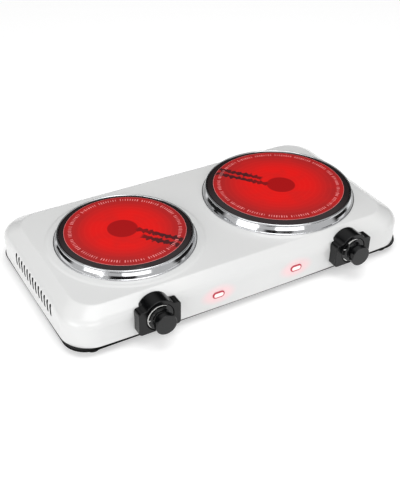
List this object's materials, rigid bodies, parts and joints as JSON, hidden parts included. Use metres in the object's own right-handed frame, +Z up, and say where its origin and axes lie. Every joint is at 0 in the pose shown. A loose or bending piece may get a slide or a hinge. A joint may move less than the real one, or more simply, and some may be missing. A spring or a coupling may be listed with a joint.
{
  "type": "hot plate burner",
  "caption": "Countertop infrared hot plate: a small and a large round glass burner in a white pressed steel housing, each with a front knob and a pilot lamp.",
  "frame": {"origin": "middle of the whole object's footprint, on the table under the feet", "axes": "+Z up, the controls face -Y, the small burner is at -X, the long side lies along X"},
  "size_m": [0.45, 0.272, 0.065],
  "materials": {
    "white_enamel": "gloss",
    "black_enamel": "satin",
    "polished_steel": "polished",
    "lit_glass": "polished, opaque black print round the edge",
    "bezel_black": "semi gloss",
    "knob_black": "gloss",
    "foot_rubber": "matte",
    "zinc_steel": "bright zinc",
    "pan_steel": "aluminised",
    "mineral_wool": "matte fibre",
    "heating_ribbon": "red hot",
    "disc_ceramic": "matte",
    "limiter_ceramic": "matte",
    "switch_ceramic": "matte",
    "gasket_fibre": "woven",
    "regulator_plastic": "moulded",
    "lamp_red": "clear lens, lit",
    "neon_glass": "clear",
    "gland_plastic": "moulded nylon",
    "block_plastic": "moulded",
    "brass": "plated",
    "spring_steel": "spring temper"
  },
  "bodies": {
    "body": {"base_plate": "black_enamel", "base_screws": "zinc_steel", "bezel_screws": "zinc_steel", "cord_gland": "gland_plastic", "earth_nut": "brass", "earth_stud": "brass", "foot_nuts": "zinc_steel", "foot_screws": "zinc_steel", "gland_nut": "gland_plastic", "left_back_foot": "foot_rubber", "left_bezel": "bezel_black", "left_bush_nut": "zinc_steel", "left_centre_disc": "disc_ceramic", "left_coil": "heating_ribbon", "left_front_foot": "foot_rubber", "left_glass": "lit_glass", "left_glass_gasket": "gasket_fibre", "left_heater_pan": "pan_steel", "left_insulation_base": "mineral_wool", "left_insulation_wall": "mineral_wool", "left_lamp_lens": "lamp_red", "left_limiter_bars": "limiter_ceramic", "left_limiter_switch": "switch_ceramic", "left_neon_lamp": "neon_glass", "left_pan_strap": "zinc_steel", "left_regulator": "regulator_plastic", "left_strap_nuts": "zinc_steel", "left_trim_ring": "polished_steel", "right_back_foot": "foot_rubber", "right_bezel": "bezel_black", "right_bush_nut": "zinc_steel", "right_centre_disc": "disc_ceramic", "right_coil": "heating_ribbon", "right_front_foot": "foot_rubber", "right_glass": "lit_glass", "right_glass_gasket": "gasket_fibre", "right_heater_pan": "pan_steel", "right_insulation_base": "mineral_wool", "right_insulation_wall": "mineral_wool", "right_lamp_lens": "lamp_red", "right_limiter_bars": "limiter_ceramic", "right_limiter_switch": "switch_ceramic", "right_neon_lamp": "neon_glass", "right_pan_strap": "zinc_steel", "right_regulator": "regulator_plastic", "right_strap_nuts": "zinc_steel", "right_trim_ring": "polished_steel", "support_posts": "zinc_steel", "terminal_block": "block_plastic", "terminal_screws": "brass", "top_housing": "white_enamel"},
    "left_control": {"left_knob": "knob_black", "left_knob_clip": "spring_steel", "left_shaft": "zinc_steel"},
    "right_control": {"right_knob": "knob_black", "right_knob_clip": "spring_steel", "right_shaft": "zinc_steel"}
  },
  "joints": [
    {"name": "left_knob_turn", "type": "hinge", "parent": "body", "child": "left_control", "pos_m": [-0.1275, -0.121, 0.034], "axis": [0, 1, 0], "range_deg": [-150, 120]},
    {"name": "right_knob_turn", "type": "hinge", "parent": "body", "child": "right_control", "pos_m": [0.1315, -0.121, 0.034], "axis": [0, 1, 0], "range_deg": [-200, 70]}
  ]
}
